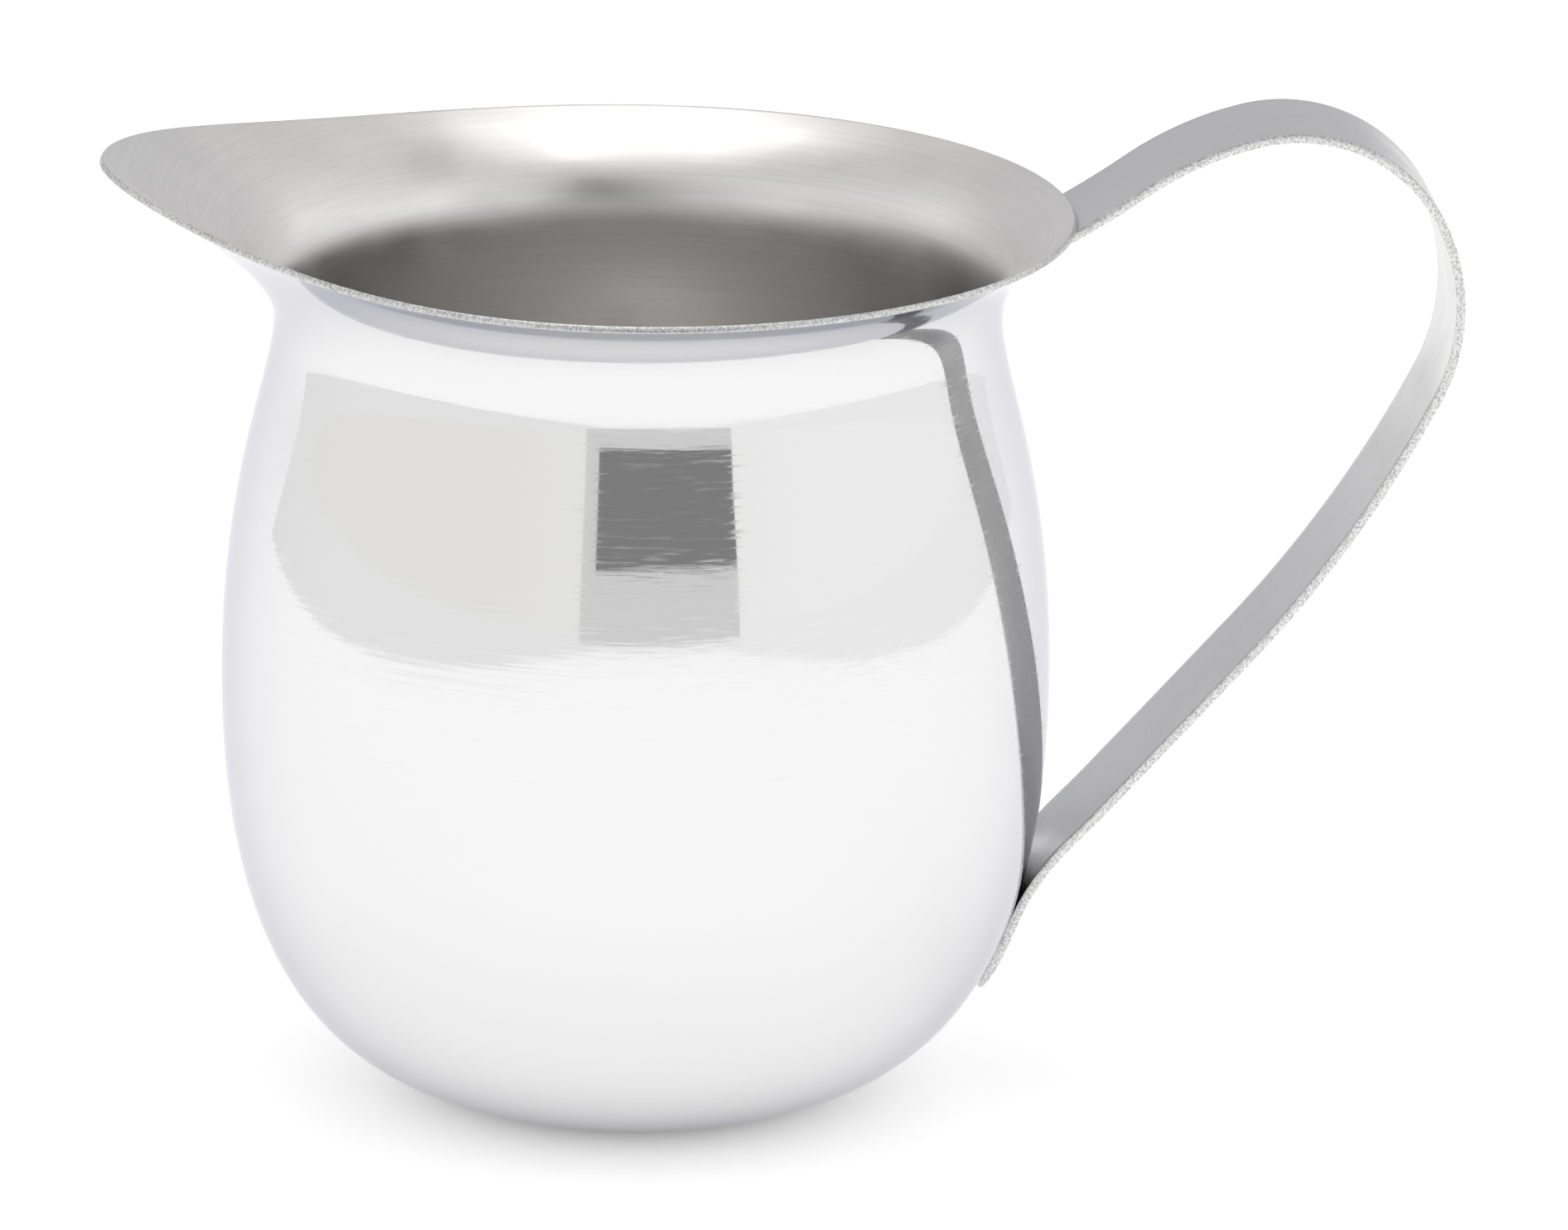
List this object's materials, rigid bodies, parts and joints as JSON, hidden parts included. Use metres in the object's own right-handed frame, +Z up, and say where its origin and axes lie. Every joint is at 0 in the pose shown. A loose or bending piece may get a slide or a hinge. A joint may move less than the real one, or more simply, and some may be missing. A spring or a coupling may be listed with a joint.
{
  "type": "cream jug",
  "caption": "Bell-shaped stainless steel cream jug with a flared rim, a pulled pouring spout and a flat strap handle spot-welded under the rim and low on the belly.",
  "frame": {"origin": "centre of the floor's underside, on the body's axis", "axes": "+Z up along the body's axis, +X towards the handle, spout towards -X, mirror plane XZ"},
  "size_m": [0.1192, 0.0768, 0.0875],
  "materials": {
    "polished_steel": "polished, with very fine lines round the body",
    "satin_steel_strip": "satin, with a bright cut edge",
    "weld_nugget": "fused, matt"
  },
  "bodies": {
    "root": {"jug_body": "polished_steel", "strap_handle": "satin_steel_strip", "upper_spot_welds": "weld_nugget", "lower_spot_welds": "weld_nugget"}
  },
  "joints": []
}
